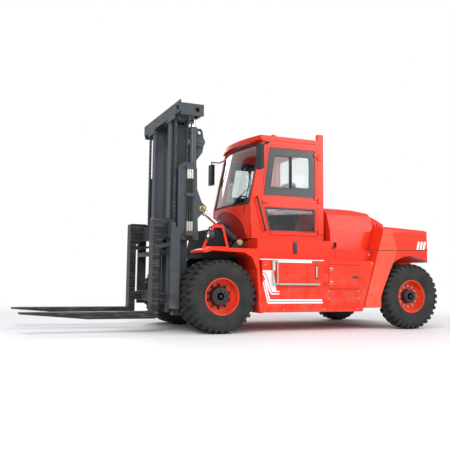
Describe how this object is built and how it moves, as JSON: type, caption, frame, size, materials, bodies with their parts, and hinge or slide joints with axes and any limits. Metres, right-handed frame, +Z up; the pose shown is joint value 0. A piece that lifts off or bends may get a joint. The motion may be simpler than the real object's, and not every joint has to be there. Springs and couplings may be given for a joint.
{
  "type": "diesel forklift truck",
  "caption": "Heavy counterbalance diesel forklift: tilting two-stage mast, sliding forks on a carriage, glazed cab, hood, counterweight, twin drive tyres and steered rear wheels.",
  "frame": {"origin": "middle of the footprint, from the fork tips to the counterweight and side to side, at floor height", "axes": "+X to the fork tips, +Y to the driver's left, +Z up; the truck stands on its wheels on the plane Z = 0"},
  "size_m": [6.65, 2.36, 3.3592],
  "materials": {
    "chassis_frame": "semi-matt dark grey paint",
    "drive_axle": "dark paint",
    "steer_axle": "dark paint",
    "front_fenders": "gloss orange-red paint",
    "front_deck": "gloss orange-red paint",
    "side_boxes": "gloss orange-red paint",
    "steps": "brushed",
    "waist_panels": "gloss orange-red paint",
    "cab_frame": "gloss orange-red paint",
    "cab_roof": "gloss orange-red paint",
    "cab_windows": "clear",
    "cab_fittings": "grained",
    "seat_cushion": "woven",
    "counterweight": "painted casting",
    "rear_grille": "matt black",
    "engine": "painted block",
    "lamps": "lamp housings",
    "mirrors_rails": "black",
    "mast_outer": "satin slate-grey paint",
    "mast_wings": "satin slate-grey paint",
    "chains_rear": "oiled",
    "mast_inner": "satin slate-grey paint",
    "crosshead": "satin slate-grey paint",
    "carriage": "satin slate-grey paint",
    "chains_front": "oiled",
    "fork_left": "forged, black",
    "fork_right": "forged, black",
    "tilt_barrel_left": "satin black paint",
    "tilt_barrel_right": "satin black paint",
    "tilt_rod_left": "polished rod",
    "tilt_rod_right": "polished rod",
    "drive_tyres_left": "black rubber",
    "drive_rims_left": "gloss orange paint",
    "drive_tyres_right": "black rubber",
    "drive_rims_right": "gloss orange paint",
    "knuckle_left": "dark paint",
    "knuckle_right": "dark paint",
    "steer_tyre_left": "black rubber",
    "steer_rim_left": "gloss orange paint",
    "steer_tyre_right": "black rubber",
    "steer_rim_right": "gloss orange paint",
    "cab_door": "gloss orange-red paint",
    "door_windows": "clear",
    "hood": "gloss orange-red paint",
    "hatch": "gloss orange-red paint"
  },
  "bodies": {
    "chassis": {"chassis_frame": "chassis_frame", "drive_axle": "drive_axle", "steer_axle": "steer_axle", "front_fenders": "front_fenders", "front_deck": "front_deck", "side_boxes": "side_boxes", "steps": "steps", "waist_panels": "waist_panels", "cab_frame": "cab_frame", "cab_roof": "cab_roof", "cab_windows": "cab_windows", "cab_fittings": "cab_fittings", "seat_cushion": "seat_cushion", "counterweight": "counterweight", "rear_grille": "rear_grille", "engine": "engine", "lamps": "lamps", "mirrors_rails": "mirrors_rails"},
    "outer_mast": {"mast_outer": "mast_outer", "mast_wings": "mast_wings", "chains_rear": "chains_rear"},
    "inner_mast": {"mast_inner": "mast_inner", "crosshead": "crosshead"},
    "fork_carriage": {"carriage": "carriage", "chains_front": "chains_front"},
    "fork_left": {"fork_left": "fork_left"},
    "fork_right": {"fork_right": "fork_right"},
    "tilt_barrel_left": {"tilt_barrel_left": "tilt_barrel_left"},
    "tilt_barrel_right": {"tilt_barrel_right": "tilt_barrel_right"},
    "tilt_rod_left": {"tilt_rod_left": "tilt_rod_left"},
    "tilt_rod_right": {"tilt_rod_right": "tilt_rod_right"},
    "drive_wheel_left": {"drive_tyres_left": "drive_tyres_left", "drive_rims_left": "drive_rims_left"},
    "drive_wheel_right": {"drive_tyres_right": "drive_tyres_right", "drive_rims_right": "drive_rims_right"},
    "knuckle_left": {"knuckle_left": "knuckle_left"},
    "knuckle_right": {"knuckle_right": "knuckle_right"},
    "steer_wheel_left": {"steer_tyre_left": "steer_tyre_left", "steer_rim_left": "steer_rim_left"},
    "steer_wheel_right": {"steer_tyre_right": "steer_tyre_right", "steer_rim_right": "steer_rim_right"},
    "door": {"cab_door": "cab_door", "door_windows": "door_windows"},
    "hood": {"hood": "hood"},
    "hatch": {"hatch": "hatch"}
  },
  "joints": [
    {"name": "mast_tilt", "type": "hinge", "parent": "chassis", "child": "outer_mast", "pos_m": [0.825, 0, 0.48], "axis": [0, 1, 0], "range_deg": [-12, 6]},
    {"name": "mast_lift", "type": "slide", "parent": "outer_mast", "child": "inner_mast", "axis": [0, 0, 1], "range_m": [0, 1.5], "deforming": ["chains_rear"]},
    {"name": "carriage_lift", "type": "slide", "parent": "inner_mast", "child": "fork_carriage", "axis": [0, 0, 1], "range_m": [0, 1.5], "deforming": ["chains_front"]},
    {"name": "fork_left_shift", "type": "slide", "parent": "fork_carriage", "child": "fork_left", "axis": [0, 1, 0], "range_m": [-0.39, 0.1]},
    {"name": "fork_right_shift", "type": "slide", "parent": "fork_carriage", "child": "fork_right", "axis": [0, -1, 0], "range_m": [-0.39, 0.1]},
    {"name": "tilt_barrel_left_swing", "type": "hinge", "parent": "chassis", "child": "tilt_barrel_left", "pos_m": [0.17, 0.655, 1.32], "axis": [0, 1, 0], "range_deg": [-14, 8]},
    {"name": "tilt_rod_left_slide", "type": "slide", "parent": "tilt_barrel_left", "child": "tilt_rod_left", "axis": [0.7907, 0, 0.6122], "range_m": [-0.23, 0.12]},
    {"name": "drive_wheel_left_spin", "type": "hinge", "parent": "chassis", "child": "drive_wheel_left", "pos_m": [0.625, 1, 0.522], "axis": [0, 1, 0], "continuous": true},
    {"name": "steer_left", "type": "hinge", "parent": "chassis", "child": "knuckle_left", "pos_m": [-2.705, 0.85, 0.522], "axis": [0, 0, 1], "range_deg": [-50, 50]},
    {"name": "steer_wheel_left_spin", "type": "hinge", "parent": "knuckle_left", "child": "steer_wheel_left", "pos_m": [-2.705, 1.031, 0.522], "axis": [0, 1, 0], "continuous": true},
    {"name": "tilt_barrel_right_swing", "type": "hinge", "parent": "chassis", "child": "tilt_barrel_right", "pos_m": [0.17, -0.655, 1.32], "axis": [0, 1, 0], "range_deg": [-14, 8]},
    {"name": "tilt_rod_right_slide", "type": "slide", "parent": "tilt_barrel_right", "child": "tilt_rod_right", "axis": [0.7907, 0, 0.6122], "range_m": [-0.23, 0.12]},
    {"name": "drive_wheel_right_spin", "type": "hinge", "parent": "chassis", "child": "drive_wheel_right", "pos_m": [0.625, -1, 0.522], "axis": [0, 1, 0], "continuous": true},
    {"name": "steer_right", "type": "hinge", "parent": "chassis", "child": "knuckle_right", "pos_m": [-2.705, -0.85, 0.522], "axis": [0, 0, 1], "range_deg": [-50, 50]},
    {"name": "steer_wheel_right_spin", "type": "hinge", "parent": "knuckle_right", "child": "steer_wheel_right", "pos_m": [-2.705, -1.031, 0.522], "axis": [0, 1, 0], "continuous": true},
    {"name": "door_hinge", "type": "hinge", "parent": "chassis", "child": "door", "pos_m": [-1.196, 0.768, 2.1], "axis": [0, 0, 1], "range_deg": [0, 85]},
    {"name": "hood_hinge", "type": "hinge", "parent": "chassis", "child": "hood", "pos_m": [-2.6, 0, 1.672], "axis": [0, -1, 0], "range_deg": [0, 40]},
    {"name": "hatch_hinge", "type": "hinge", "parent": "chassis", "child": "hatch", "pos_m": [-1.155, 1.123, 0.82], "axis": [0, 0, -1], "range_deg": [0, 110]}
  ],
  "couplings": [
    {"joint": "carriage_lift", "follows": "mast_lift", "ratio": 1},
    {"joint": "tilt_barrel_left_swing", "follows": "mast_tilt", "ratio": 1.1},
    {"joint": "tilt_rod_left_slide", "follows": "mast_tilt", "m_per_rad": 1.057},
    {"joint": "tilt_barrel_right_swing", "follows": "mast_tilt", "ratio": 1.1},
    {"joint": "tilt_rod_right_slide", "follows": "mast_tilt", "m_per_rad": 1.057},
    {"joint": "steer_right", "follows": "steer_left", "ratio": 1}
  ]
}
